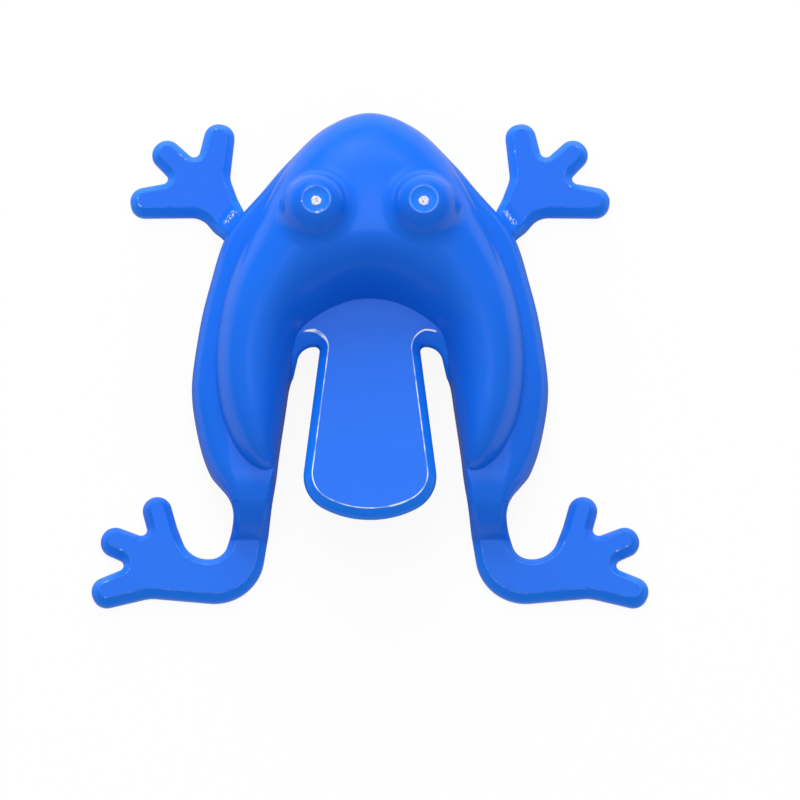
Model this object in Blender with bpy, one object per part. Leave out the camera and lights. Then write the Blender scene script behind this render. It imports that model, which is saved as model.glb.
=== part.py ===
"""Jumping frog: a toy moulded in one shot of springy plastic, whose tail tab flips it into the air.

Metres, +Z up, nose towards +Y, soles on z = 0, origin under the middle of the outline. The moulding is laid out
as the members that flex against each other: the hollow shell with its two eyes, the thumb tab, two arms and two
hind legs. Neighbours are parted by a narrow gap at the lines where the plastic bends. Right is the frog's own
right, +X.
"""

import math

import bmesh
import bpy
import numpy as np
from mathutils import Vector

# Overall layout; what lies ahead is measured from the hip line
BODY_LENGTH = 0.0403  # nose to the hip line
BODY_HALF_WIDTH = 0.0178
FLEX_GAP = 0.0003  # between members where the plastic bends
OVERRUN = 0.0010  # how far a cut runs past what it cuts

# Moulding
WALL = 0.0013
RIM_HEIGHT = 0.0015  # underside of the shell above the table
SKIRT_HEIGHT = 0.0040
DOME_HEIGHT = 0.0068  # crest above the skirt
DOME_ROOT = 0.0015  # how deep the dome is rooted in the skirt
HOLLOW_LEDGE = 0.0004  # between the hollow under the skirt and the one in the dome
HIP_FALL = 0.0006  # how far the skirt's top has sunk at the hip line
HIP_SLOPE = 0.0028  # length over which it sinks, behind the lobe
HIP_THICKNESS = 0.0016
HIP_ARCH = 0.0037  # length over which the rim rises to the hip

# Eyes
EYE_RADIUS = 0.0034
EYE_OFFSET = 0.00536  # from the centre plane
EYE_AHEAD = 0.0284
EYE_RISE = 0.00585  # centre of the eyeball above the skirt
EYE_DEPTH = 0.0055  # eyeball centre to the foot of its boss
EYE_DRAFT = 0.0002
DISH_RADIUS = 0.00145
DISH_DEPTH = 0.00055

# Thumb tab and its root plate
TAB_THICKNESS = 0.0015
TAB_RISE = math.radians(6)
TAB_ROOT_AHEAD = 0.0207  # where the dome's rear wall meets the plate
PLATE_CORNER_AHEAD = 0.0172
PLATE_STEP = 0.00015  # plate above the skirt at that line
PLATE_SEAT = 0.0008  # how far the plate runs in under the dome's wall
SLOT_TOP_AHEAD = 0.0160
SLOT_OUTER_X = 0.0065
SLOT_RADIUS = 0.00055
SLOT_EDGE = 0.0015
FLARE_X = 0.0074  # where the slot's outer side turns into the lobe's wall
FLARE_AHEAD = 0.0140
FLARE_RADIUS = 0.0012
FLEX_AHEAD = 0.01465  # bending line of the tab
TAB_NECK = 0.00511  # half width at the bending line
TAB_SHOULDER = 0.0069  # half width where the side would meet the end curve
TAB_SHOULDER_BEHIND = 0.00023
TAB_SHOULDER_RADIUS = 0.0039
TAB_END = 0.0024  # half width of the end between the two corners of its curve
TAB_END_BEHIND = 0.00264
TAB_END_RADIUS = 0.0092
TAB_EDGE = 0.0009
LOBE_COVER_X = 0.0092  # the plate's corner hidden in the lobe
LOBE_COVER_AHEAD = 0.0126

# Limbs
LIMB_THICKNESS = 0.00145
LIMB_EDGE = 0.0007
NOSE_EDGE = 0.00045
SKIRT_EDGE = 0.0020
TOE_HALF_WIDTH = 0.00145
TOE_ROOT_HALF_WIDTH = 0.00158
WEB_RADIUS = 0.0006
FOOT_OUT = 0.0195  # foot's palm from the centre plane
FOOT_BACK = 0.0056  # foot's palm behind the hip line
FOOT_REACH = 0.0073  # palm to the centre of the longest toe's tip
LAST_TOE = math.radians(21.6)  # how far the last toe points back
HAND_OUT = 0.01645  # hand's palm from the centre plane
HAND_AHEAD = 0.0335
HAND_REACH = 0.0063
FIRST_TOE = math.radians(101.9)  # direction of the hand's first toe, from straight out
SHOULDER_STEP = 0.0015  # length over which the arm drops to the table
LEVEL_MARGIN = 0.00025  # how far before its flat part a limb is already level

# Points of an edge's round: how far in, as a share of its width, and how far up, of the thickness
skirt_edge_shares = ((0, 0), (0, 0.4), (0.05, 0.56), (0.2, 0.74), (0.45, 0.88), (0.75, 0.97), (1, 1))
limb_edge_shares = ((0, 0), (0, 0.38), (0.1, 0.56), (0.85, 0.95), (1, 1))
tab_edge_shares = ((0, 0), (0, 0.3), (0.12, 0.5), (0.85, 0.95), (1, 1))

# Outer edge from the nose to the ankle, in half widths across and body lengths forward of the hip
outer_edge_shares = (
    (0, 1), (0.174, 0.987), (0.317, 0.95), (0.43, 0.902), (0.517, 0.861), (0.607, 0.813),
    (0.711, 0.76), (0.819, 0.691), (0.89, 0.588), (0.94, 0.499), (0.978, 0.405), (1, 0.318),
    (0.992, 0.248), (0.964, 0.179), (0.932, 0.127), (0.896, 0.086), (0.867, 0.0645), (0.833, 0.043),
    (0.8, 0.0215), (0.777, 0), (0.765, -0.0215), (0.769, -0.043), (0.782, -0.0645), (0.798, -0.086),
)
outer_edge_hip = 19
# Width of the round along the outer edge, from the nose's to the skirt's, and back to a limb's
outer_round_shares = (0, 0, 0.05, 0.1, 0.25, 0.5, 0.8, 1, 1, 1, 1, 1, 1, 1, 0.9, 0.75, 0.6, 0.4, 0.2, 0.05)

# Inner edge from under the dome's rear wall, past the slot and the lobe, to the ankle
inner_edge_shares = (
    (0, 0.532), (0.14, 0.525), (0.27, 0.502), (0.371, 0.466), (0.404, 0.417), (0.41, 0.357),
    (0.433, 0.315), (0.454, 0.274), (0.475, 0.228), (0.496, 0.171), (0.512, 0.122), (0.521, 0.086),
    (0.527, 0.0645), (0.533, 0.043), (0.539, 0.0215), (0.546, 0), (0.554, -0.0215), (0.562, -0.043),
    (0.57, -0.0645), (0.579, -0.086),
)
inner_edge_hip = 15
inner_edge_slot = 5
hip_rows = 4  # knots of both edges in front of the hip line, across from each other
ankle_rows = 4  # and behind it
lobe_lip_share = 0.35  # round of the lobe's inner edge, of a limb's edge

# Three rails of the dome from the front to the lobe's end; like knots lie across from each other
sill_shares = (
    (0, 0.989), (0.222, 0.959), (0.386, 0.9), (0.497, 0.833), (0.587, 0.758), (0.685, 0.667),
    (0.778, 0.571), (0.834, 0.478), (0.86, 0.379), (0.846, 0.286), (0.8, 0.203), (0.736, 0.138),
    (0.669, 0.096), (0.596, 0.077), (0.548, 0.073),
)
ridge_shares = (
    (0, 0.654, 1), (0.146, 0.652, 1), (0.292, 0.642, 0.985), (0.405, 0.621, 0.94), (0.492, 0.58, 0.88),
    (0.562, 0.525, 0.81), (0.618, 0.473, 0.743), (0.66, 0.412, 0.684), (0.683, 0.342, 0.625),
    (0.677, 0.268, 0.566), (0.655, 0.199, 0.5), (0.629, 0.139, 0.397), (0.604, 0.099, 0.25),
    (0.573, 0.079, 0.09), (0.546, 0.074, -0.045),
)
foot_shares = (
    (0, 0.513), (0.112, 0.506), (0.219, 0.486), (0.309, 0.459), (0.374, 0.432), (0.407, 0.407),
    (0.421, 0.377), (0.433, 0.34), (0.453, 0.3), (0.476, 0.25), (0.5, 0.193), (0.518, 0.141),
    (0.529, 0.1025), (0.54, 0.082), (0.544, 0.075),
)
cavity_end = 11  # knot of the rails at which the hollow under the lobe ends
rear_wall_power = 2.3  # steepness of the fall behind the crest
leg_bow_share = 0.55  # how much of the leg's fall comes late, towards the ankle

# Limb outlines: corners off the palm with their radii, as shares of the limb's reach
foot_toes = ((math.radians(73.4), 0.815), (math.radians(22.7), 0.877), (-LAST_TOE, 1))
foot_notch_shares = ((-0.671, 0.075, 0.165), (-0.26, 0.082, 0.235), (-0.041, 0.548, 0.41))
foot_sole_shares = ((0.329, -0.452, 0.5), (-1.123, -0.582, 0.69))
hand_toes = ((FIRST_TOE, 0.933), (math.radians(44.8), 0.898), (math.radians(-9.2), 1))
hand_front_shares = ((-0.373, 0.222, 0.4),)
hand_rear_shares = ((0.071, -0.413, 0.35),)
shoulder_front_knot = 5.9  # where the arm leaves the outer edge
shoulder_rear_knot = 6.95

# Derived sizes and places
FRONT_REACH = HAND_AHEAD + HAND_REACH * hand_toes[0][1] * math.sin(FIRST_TOE) + TOE_HALF_WIDTH  # hip to the front end
LEG_REACH = FOOT_BACK + FOOT_REACH * math.sin(LAST_TOE) + TOE_HALF_WIDTH  # hip line to the rear end
HIP_Y = (LEG_REACH - FRONT_REACH) / 2
TAB_ROOT_Y = HIP_Y + TAB_ROOT_AHEAD
SLOT_TOP_Y = HIP_Y + SLOT_TOP_AHEAD
FLEX_Y = HIP_Y + FLEX_AHEAD
TAB_SHOULDER_Y = HIP_Y - TAB_SHOULDER_BEHIND
SKIRT_TOP = RIM_HEIGHT + SKIRT_HEIGHT
HIP_TOP = SKIRT_TOP - HIP_FALL
HIP_UNDERSIDE = HIP_TOP - HIP_THICKNESS
EYE_CENTRE_Z = SKIRT_TOP + EYE_RISE

# Fineness of the mesh
ARC_SAG = 0.00003  # how far an arc's chords may fall inside it
POINT_GAP = 0.00015  # points of an outline that are nearer to each other become one
steps_per_knot = 3
section_steps = 8
eye_sides = 32
ball_steps = 6
boss_steps = 5

plastic_blue = (0.013, 0.141, 0.791, 1.0)


def clear_scene():
    """Remove whatever the file opened with."""
    for old in list(bpy.data.objects):
        bpy.data.objects.remove(old, do_unlink=True)


def blue_plastic(name):
    """Glossy blue moulded plastic, one material for each member."""
    material = bpy.data.materials.new(name)
    material.use_nodes = True
    shader = material.node_tree.nodes["Principled BSDF"]
    shader.inputs["Base Color"].default_value = plastic_blue
    shader.inputs["Roughness"].default_value = 0.3
    shader.inputs["Metallic"].default_value = 0.0
    return material


def body_point(across, along, *rest):
    """Place given in body shares, in metres, with anything after it left as it is."""
    return (across * BODY_HALF_WIDTH, HIP_Y + along * BODY_LENGTH, *rest)


def rail(knots):
    """Natural cubic curve through knots of the right half and their mirror images.

    The function returned takes a knot number, whole or not: 0 on the centre plane, negative on the left.
    """
    right = np.array(knots, float)
    left = right[:0:-1].copy()
    left[:, 0] *= -1
    places = np.vstack((left, right))
    count = len(places)
    matrix = 4 * np.eye(count) + np.eye(count, k=1) + np.eye(count, k=-1)
    matrix[[0, -1]] = 0
    matrix[0, 0] = matrix[-1, -1] = 1
    bends = np.zeros_like(places)
    bends[1:-1] = 6 * (places[2:] - 2 * places[1:-1] + places[:-2])
    bends = np.linalg.solve(matrix, bends)

    def at(knot):
        position = knot + len(right) - 1
        span = min(max(int(math.floor(position)), 0), count - 2)
        far = position - span
        near = 1 - far
        straight = near * places[span] + far * places[span + 1]
        return straight + ((near**3 - near) * bends[span] + (far**3 - far) * bends[span + 1]) / 6

    return at


outer_edge = rail([body_point(*knot) for knot in outer_edge_shares])
inner_edge = rail([body_point(*knot) for knot in inner_edge_shares])
sill = rail([body_point(*knot) for knot in sill_shares])
ridge = rail([body_point(across, along, SKIRT_TOP + rise * DOME_HEIGHT) for across, along, rise in ridge_shares])
foot = rail([body_point(*knot) for knot in foot_shares])


def knots_between(first, last, steps):
    """Evenly spaced knot numbers, steps to each whole knot, both ends included."""
    count = max(1, round(abs(last - first) * steps))
    return [first + (last - first) * i / count for i in range(count + 1)]


def chords(radius, turn):
    """How many chords hold an arc's polygon within the sag."""
    return max(2, math.ceil(turn / (2 * math.acos(1 - min(ARC_SAG / radius, 0.5)))))


def rounded(corners):
    """Outline with each corner (x, y, radius, edge width) turned as an arc; the two ends stay as they are.

    Where two arcs don't fit on the side between them, both are made smaller in proportion.
    """
    places = [Vector(corner[:2]) for corner in corners]
    turns = [0]
    for before, here, after in zip(places, places[1:], places[2:]):
        turns.append(math.pi - (before - here).angle(after - here))
    turns.append(0)
    reaches = [corner[2] * math.tan(turn / 2) for corner, turn in zip(corners, turns)]
    outline = [(*corners[0][:2], corners[0][3])]
    for i in range(1, len(corners) - 1):
        back = places[i - 1] - places[i]
        ahead = places[i + 1] - places[i]
        fit = min(1, back.length / (reaches[i - 1] + reaches[i]), ahead.length / (reaches[i] + reaches[i + 1]))
        reach = reaches[i] * fit
        radius = corners[i][2] * fit
        middle = (back.normalized() + ahead.normalized()).normalized()
        centre = places[i] + middle * (radius / math.cos(turns[i] / 2))
        start = places[i] + back.normalized() * reach - centre
        side = math.copysign(1, back.normalized().cross(ahead.normalized()))
        count = chords(radius, turns[i])
        for step in range(count + 1):
            angle = -side * turns[i] * step / count
            x = centre.x + start.x * math.cos(angle) - start.y * math.sin(angle)
            y = centre.y + start.x * math.sin(angle) + start.y * math.cos(angle)
            if math.dist((x, y), outline[-1][:2]) > POINT_GAP:
                outline.append((x, y, corners[i][3]))
    outline.append((*corners[-1][:2], corners[-1][3]))
    return outline


def inset_vectors(loop, cuts):
    """For each point of a closed loop, the step inwards that lays the next edge parallel to this one.

    A cut is the number of a point whose edge to the next one is a parting line: there both slide along it.
    """
    count = len(loop)
    places = [Vector(point[:2]) for point in loop]
    turning = math.copysign(1, sum(a.cross(b) for a, b in zip(places, places[1:] + places[:1])))
    vectors = []
    for i, place in enumerate(places):
        before = (place - places[i - 1]).normalized()
        after = (places[(i + 1) % count] - place).normalized()
        if i in cuts:
            step = after / max(abs(before.cross(after)), 0.5)
        elif (i - 1) % count in cuts:
            step = -before / max(abs(before.cross(after)), 0.5)
        else:
            sideways = (before + after).normalized()
            step = Vector((-sideways.y, sideways.x)) * turning / max(sideways.dot(after), 0.5)
        vectors.append(step * loop[i][2])
    return vectors


def member(name, bm, pivot, side=1):
    """Object from a mesh modelled in place, mirrored to its side, with its origin on its flex line."""
    for vertex in bm.verts:
        vertex.co.x *= side
        vertex.co -= Vector(pivot)
    bmesh.ops.recalc_face_normals(bm, faces=bm.faces)
    mesh = bpy.data.meshes.new(name)
    bm.to_mesh(mesh)
    bm.free()
    mesh.shade_smooth()
    mesh.set_sharp_from_angle(angle=math.radians(35))
    made = bpy.data.objects.new(name, mesh)
    made.location = pivot
    made.data.materials.append(blue_plastic(name + "_plastic"))
    bpy.context.scene.collection.objects.link(made)
    return made


def tool(name, bm):
    """Closed shape that only serves a Boolean."""
    made = member(name, bm, (0, 0, 0))
    made.hide_render = True
    made.display_type = "WIRE"
    return made


def plate(loop, cuts, edge_shares, underside, topside, caps):
    """Sheet on a closed outline with a rounded upper edge; caps lists the faces that close a ring of it."""
    bm = bmesh.new()
    vectors = inset_vectors(loop, cuts)
    rings = []
    for inwards, upwards in edge_shares:
        ring = []
        for (x, y, _), step in zip(loop, vectors):
            px = x + step.x * inwards
            py = y + step.y * inwards
            low = underside(px, py)
            ring.append(bm.verts.new((px, py, low + upwards * (topside(px, py) - low))))
        rings.append(ring)
    count = len(loop)
    for lower, upper in zip(rings, rings[1:]):
        for i in range(count):
            j = (i + 1) % count
            bm.faces.new((lower[i], lower[j], upper[j], upper[i]))
    for cap in caps:
        bm.faces.new([rings[-1][i] for i in cap])
        bm.faces.new([rings[0][i] for i in reversed(cap)])
    return bm


def ladder(first, last, rows):
    """Caps across a strip: rungs run between points counted up from first and down from last."""
    return [(first + i, first + i + 1, last - i - 1, last - i) for i in range(rows)]


def lift(share):
    """Smooth rise from 0 to 1."""
    share = min(max(share, 0), 1)
    return share * share * (3 - 2 * share)


def hip_underside(y):
    """Underside of the skirt, which arches up to the hip."""
    return RIM_HEIGHT + (HIP_UNDERSIDE - RIM_HEIGHT) * lift(1 - (y - HIP_Y) / HIP_ARCH)


def hip_top(y):
    """Top of the skirt, which starts to fall behind the lobe."""
    return SKIRT_TOP - HIP_FALL * max(1 - (y - HIP_Y) / HIP_SLOPE, 0) ** 2


def knot_step():
    """Distance between two rows of knots near the hip line."""
    return BODY_LENGTH * (outer_edge_shares[-2][1] - outer_edge_shares[-1][1])


def tab_top(y):
    """Upper face of the tab and its root plate, which climb to the rear."""
    return SKIRT_TOP + PLATE_STEP + (TAB_ROOT_Y - y) * math.tan(TAB_RISE)


def lofted(sections):
    """Solid skinned over closed sections that all have as many points, with both ends closed."""
    bm = bmesh.new()
    rings = [[bm.verts.new(point) for point in section] for section in sections]
    for near, far in zip(rings, rings[1:]):
        for i in range(len(near)):
            j = (i + 1) % len(near)
            bm.faces.new((near[i], near[j], far[j], far[i]))
    bm.faces.new(rings[0])
    bm.faces.new(rings[-1])
    return bm


def dome_section(knot, wall, ledge, floor, steps):
    """Section across the dome: up from the sill as a quarter ellipse, over the crest and down to the foot."""
    crest = Vector(ridge(knot)) - Vector((0, 0, wall))
    outer = Vector((*sill(knot), SKIRT_TOP))
    inner = Vector((*foot(knot), SKIRT_TOP))
    for end, inset in ((outer, wall + ledge), (inner, wall)):
        end += Vector((crest.x - end.x, crest.y - end.y, 0)).normalized() * inset
    section = [(outer.x, outer.y, floor)]
    for i in range(steps + 1):
        angle = math.pi / 2 * i / steps
        place = crest.lerp(outer, math.cos(angle))
        section.append((place.x, place.y, outer.z + (crest.z - outer.z) * math.sin(angle)))
    for i in range(1, steps + 1):
        share = i / steps
        place = crest.lerp(inner, share)
        section.append((place.x, place.y, inner.z + (crest.z - inner.z) * (1 - share**rear_wall_power)))
    section.append((inner.x, inner.y, floor))
    return section


def skirt_round(knot):
    """Width of the outer edge's round at a knot."""
    knots = range(len(outer_round_shares))
    share = float(np.interp(abs(knot), knots, outer_round_shares))
    base = NOSE_EDGE if abs(knot) < outer_edge_hip / 2 else LIMB_EDGE
    return base + share * (SKIRT_EDGE - base)


def skirt():
    """Skirt from hip to hip: the horseshoe that carries the dome and ends at the legs' flex lines."""
    half_gap = FLEX_GAP / 2 / knot_step()
    outer_last = outer_edge_hip - half_gap
    inner_last = inner_edge_hip - half_gap
    outer = [(*outer_edge(knot), skirt_round(knot)) for knot in knots_between(-outer_last, outer_last, steps_per_knot)]
    inner = []
    for knot in knots_between(inner_last, -inner_last, steps_per_knot):
        at_hip = lift(1 - (inner_last - abs(knot)) / hip_rows)
        width = LIMB_EDGE * (lobe_lip_share + (1 - lobe_lip_share) * at_hip)
        inner.append((*inner_edge(knot), width))
    loop = outer + inner
    count = len(loop)
    turn = len(outer)
    rows = hip_rows * steps_per_knot
    caps = [(i, i + 1, count - i - 2, count - i - 1) for i in range(rows)]
    caps += [(turn - i - 2, turn - i - 1, turn + i, turn + i + 1) for i in range(rows)]
    caps.append(list(range(rows, turn - rows)) + list(range(turn + rows, count - rows)))
    return plate(
        loop,
        (turn - 1, count - 1),
        skirt_edge_shares,
        lambda x, y: hip_underside(y),
        lambda x, y: hip_top(y),
        caps,
    )


def skirt_recess():
    """Hollow under the skirt and the root plate, a wall's width inside the edges."""
    outer_last = outer_edge_hip - hip_rows
    inner_last = inner_edge_hip - hip_rows
    inner_first = inner_edge_slot
    outer = [(*outer_edge(knot), WALL) for knot in knots_between(-outer_last, outer_last, 1)]
    right = [(*inner_edge(knot), WALL) for knot in knots_between(inner_last, inner_first, 1)]
    left = [(-x, y, width) for x, y, width in reversed(right)]
    loop = outer + right + left
    low = RIM_HEIGHT - OVERRUN
    vectors = inset_vectors(loop, (len(outer) - 1, len(outer) + len(right) - 1, len(loop) - 1))
    bm = bmesh.new()
    rings = []
    for z in (low, SKIRT_TOP - WALL):
        rings.append([bm.verts.new((x + v.x, y + v.y, z)) for (x, y, _), v in zip(loop, vectors)])
    for i in range(len(loop)):
        j = (i + 1) % len(loop)
        bm.faces.new((rings[0][i], rings[0][j], rings[1][j], rings[1][i]))
    for ring in rings:
        bm.faces.new(ring)
    return bm


def dome(wall, ledge, floor, last, steps, fineness):
    """Dome over the horseshoe, or with a wall taken off all round, the hollow inside it."""
    return lofted([dome_section(knot, wall, ledge, floor, fineness) for knot in knots_between(-last, last, steps)])


def eye_profile():
    """Radius and height of an eye from its dished pupil, over the ball and down the drafted boss."""
    rim_angle = math.asin(DISH_RADIUS / EYE_RADIUS)
    rim = EYE_RADIUS * math.cos(rim_angle)
    profile = []
    for share in (0.3, 0.65):
        profile.append((DISH_RADIUS * share, rim - DISH_DEPTH * (1 - share * share)))
    for i in range(ball_steps + 1):
        angle = rim_angle + (math.pi / 2 - rim_angle) * i / ball_steps
        profile.append((EYE_RADIUS * math.sin(angle), EYE_RADIUS * math.cos(angle)))
    for i in range(1, boss_steps + 1):
        share = i / boss_steps
        profile.append((EYE_RADIUS + EYE_DRAFT * share, -EYE_DEPTH * share))
    return profile


def eyes():
    """Two eyeball bosses, each with a dished pupil."""
    bm = bmesh.new()
    for side in (-1, 1):
        centre = Vector((side * EYE_OFFSET, HIP_Y + EYE_AHEAD, EYE_CENTRE_Z))
        rings = []
        for radius, height in eye_profile():
            turns = [math.tau * i / eye_sides for i in range(eye_sides)]
            around = [Vector((radius * math.cos(turn), radius * math.sin(turn), height)) for turn in turns]
            rings.append([bm.verts.new(centre + place) for place in around])
        for upper, lower in zip(rings, rings[1:]):
            for i in range(eye_sides):
                j = (i + 1) % eye_sides
                bm.faces.new((upper[i], upper[j], lower[j], lower[i]))
        bm.faces.new(rings[0])
        bm.faces.new(rings[-1])
    return bm


def tab_side(y):
    """Half width of the tab, which widens to the rear along straight sides."""
    slope = (TAB_SHOULDER - TAB_NECK) / (FLEX_Y - TAB_SHOULDER_Y)
    return TAB_NECK + (FLEX_Y - y) * slope


def root_plate():
    """Flat plate from the dome's rear wall to the tab's flex line, with the closed ends of both slots."""
    cut_y = FLEX_Y + FLEX_GAP / 2
    right = rounded([
        (tab_side(cut_y), cut_y, 0, TAB_EDGE),
        (tab_side(SLOT_TOP_Y), SLOT_TOP_Y, SLOT_RADIUS, SLOT_EDGE),
        (SLOT_OUTER_X, SLOT_TOP_Y, SLOT_RADIUS, SLOT_EDGE),
        (FLARE_X, HIP_Y + FLARE_AHEAD, FLARE_RADIUS, TAB_EDGE),
        (LOBE_COVER_X, HIP_Y + LOBE_COVER_AHEAD, 0, 0),
    ])
    right.append((LOBE_COVER_X, HIP_Y + PLATE_CORNER_AHEAD, 0))
    for knot in knots_between(4, 0.5, 1):
        x, y = foot(knot)
        right.append((x, y + PLATE_SEAT, 0))
    left = [(-x, y, width) for x, y, width in reversed(right)]
    loop = right + left
    return plate(
        loop,
        (len(loop) - 1,),
        tab_edge_shares,
        lambda x, y: tab_top(y) - TAB_THICKNESS,
        lambda x, y: tab_top(y),
        [range(len(loop))],
    )


def shell():
    """Hollow shell: skirt, dome, eyes and root plate in one, opened from below by two hollows."""
    body = member("body_shell", skirt(), (0, 0, 0))
    last = len(sill_shares) - 1
    hollow_floor = SKIRT_TOP - WALL - OVERRUN
    additions = (
        tool("dome_form", dome(0, 0, SKIRT_TOP - DOME_ROOT, last, steps_per_knot, section_steps)),
        tool("eye_form", eyes()),
        tool("root_plate_form", root_plate()),
    )
    hollows = (
        tool("skirt_recess_form", skirt_recess()),
        tool("dome_hollow_form", dome(WALL, HOLLOW_LEDGE, hollow_floor, cavity_end, 1, section_steps // 2)),
    )
    for form in additions:
        joined = body.modifiers.new(form.name, "BOOLEAN")
        joined.operation = "UNION"
        joined.object = form
    for form in hollows:
        cut = body.modifiers.new(form.name, "BOOLEAN")
        cut.operation = "DIFFERENCE"
        cut.object = form


def thumb_tab():
    """Tongue that the thumb presses, with its origin on the underside of its flex line."""
    cut_y = FLEX_Y - FLEX_GAP / 2
    right = [
        (tab_side(cut_y), cut_y, 0, TAB_EDGE),
        (TAB_SHOULDER, TAB_SHOULDER_Y, TAB_SHOULDER_RADIUS, TAB_EDGE),
        (TAB_END, HIP_Y - TAB_END_BEHIND, TAB_END_RADIUS, TAB_EDGE),
    ]
    loop = rounded(right + [(-corner[0], *corner[1:]) for corner in reversed(right)])
    bm = plate(
        loop,
        (len(loop) - 1,),
        tab_edge_shares,
        lambda x, y: tab_top(y) - TAB_THICKNESS,
        lambda x, y: tab_top(y),
        [range(len(loop))],
    )
    member("thumb_tab", bm, (0, FLEX_Y, tab_top(FLEX_Y) - TAB_THICKNESS))


def webbed(palm, reach, toes):
    """Corners round the toes: two at each tip, and one in each web where the sides of two toes meet."""
    corners = []
    for number, (angle, share) in enumerate(toes):
        along = Vector((math.cos(angle), math.sin(angle)))
        left = Vector((-along.y, along.x))
        tip = palm + along * (reach * share + TOE_HALF_WIDTH)
        for place in (tip + left * TOE_HALF_WIDTH, tip - left * TOE_HALF_WIDTH):
            corners.append((place.x, place.y, TOE_HALF_WIDTH, LIMB_EDGE))
        if number + 1 < len(toes):
            half = (angle - toes[number + 1][0]) / 2
            middle = Vector((math.cos(angle - half), math.sin(angle - half)))
            web = palm + middle * (TOE_ROOT_HALF_WIDTH / math.sin(half))
            corners.append((web.x, web.y, WEB_RADIUS, LIMB_EDGE))
    return corners


def off_palm(palm, reach, corner_shares):
    """Corners of a limb's outline, given as shares of its reach from the palm."""
    return [(palm.x + x * reach, palm.y + y * reach, radius * reach, LIMB_EDGE) for x, y, radius in corner_shares]


def leg_drop(y, end_y):
    """How far the leg has come down, from 0 at the hip to 1 at the ankle, where the slope stops short."""
    share = min(max((HIP_Y - y) / (HIP_Y - end_y), 0), 1)
    return share * (1 - leg_bow_share) + share**2 * leg_bow_share


def hind_leg(name, side):
    """Leg that drops from the hip to a flat foot with three toes."""
    half_gap = FLEX_GAP / 2 / knot_step()
    rows = knots_between(half_gap, ankle_rows, steps_per_knot)
    outer = [(*outer_edge(outer_edge_hip + row), LIMB_EDGE) for row in rows]
    inner = [(*inner_edge(inner_edge_hip + row), LIMB_EDGE) for row in reversed(rows)]
    palm = Vector((FOOT_OUT, HIP_Y - FOOT_BACK))
    around = [(*outer[-1][:2], 0, LIMB_EDGE)]
    around += off_palm(palm, FOOT_REACH, foot_notch_shares)
    around += webbed(palm, FOOT_REACH, foot_toes)
    around += off_palm(palm, FOOT_REACH, foot_sole_shares)
    around.append((*inner[0][:2], 0, LIMB_EDGE))
    loop = outer + rounded(around)[1:-1] + inner
    count = len(loop)
    strip = len(rows) - 1
    ankle_y = outer[-1][1] + LEVEL_MARGIN
    under_ankle_y = ankle_y + LIMB_THICKNESS / 2
    caps = ladder(0, count - 1, strip)
    caps.append(range(strip, count - strip))

    def underside(x, y):
        dropped = leg_drop(y, under_ankle_y) if x < FOOT_OUT - FOOT_REACH / 2 else 1
        return HIP_UNDERSIDE * (1 - dropped)

    def topside(x, y):
        dropped = leg_drop(y, ankle_y) if x < FOOT_OUT - FOOT_REACH / 2 else 1
        return HIP_TOP + (LIMB_THICKNESS - HIP_TOP) * dropped

    bm = plate(loop, (count - 1,), limb_edge_shares, underside, topside, caps)
    middle = side * (outer_edge(outer_edge_hip)[0] + inner_edge(inner_edge_hip)[0]) / 2
    member(name, bm, (middle, HIP_Y, (HIP_TOP + HIP_UNDERSIDE) / 2), side)


def arm(name, side):
    """Flat arm that steps up to the skirt at the shoulder, with three toes."""
    front = Vector(outer_edge(shoulder_front_knot))
    rear = Vector(outer_edge(shoulder_rear_knot))
    root = (rear - front).normalized()
    outwards = Vector((-root.y, root.x))
    front += outwards * FLEX_GAP
    rear += outwards * FLEX_GAP
    middle = (front + rear) / 2
    palm = Vector((HAND_OUT, HIP_Y + HAND_AHEAD))
    first = off_palm(palm, HAND_REACH, hand_front_shares)
    last = off_palm(palm, HAND_REACH, hand_rear_shares)
    rows = 3
    steps = [SHOULDER_STEP * i / rows for i in range(rows + 1)]
    front_way = (Vector(first[0][:2]) - front).normalized()
    rear_way = (Vector(last[-1][:2]) - rear).normalized()
    front_side = [(*(front + front_way * step), LIMB_EDGE) for step in steps]
    rear_side = [(*(rear + rear_way * step), LIMB_EDGE) for step in reversed(steps)]
    around = [(*front_side[-1][:2], 0, LIMB_EDGE)]
    around += first + webbed(palm, HAND_REACH, hand_toes) + last
    around.append((*rear_side[0][:2], 0, LIMB_EDGE))
    loop = front_side + rounded(around)[1:-1] + rear_side
    count = len(loop)
    caps = ladder(0, count - 1, rows)
    caps.append(range(rows, count - rows))

    def underside(x, y):
        away = (Vector((x, y)) - front).dot(outwards)
        return RIM_HEIGHT * lift(1 - away / (SHOULDER_STEP - LEVEL_MARGIN))

    bm = plate(loop, (count - 1,), limb_edge_shares, underside, lambda x, y: underside(x, y) + LIMB_THICKNESS, caps)
    member(name, bm, (side * middle.x, middle.y, RIM_HEIGHT + LIMB_THICKNESS / 2), side)


clear_scene()
shell()
thumb_tab()
hind_leg("right_leg", 1)
hind_leg("left_leg", -1)
arm("right_arm", 1)
arm("left_arm", -1)
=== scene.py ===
import math

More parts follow.
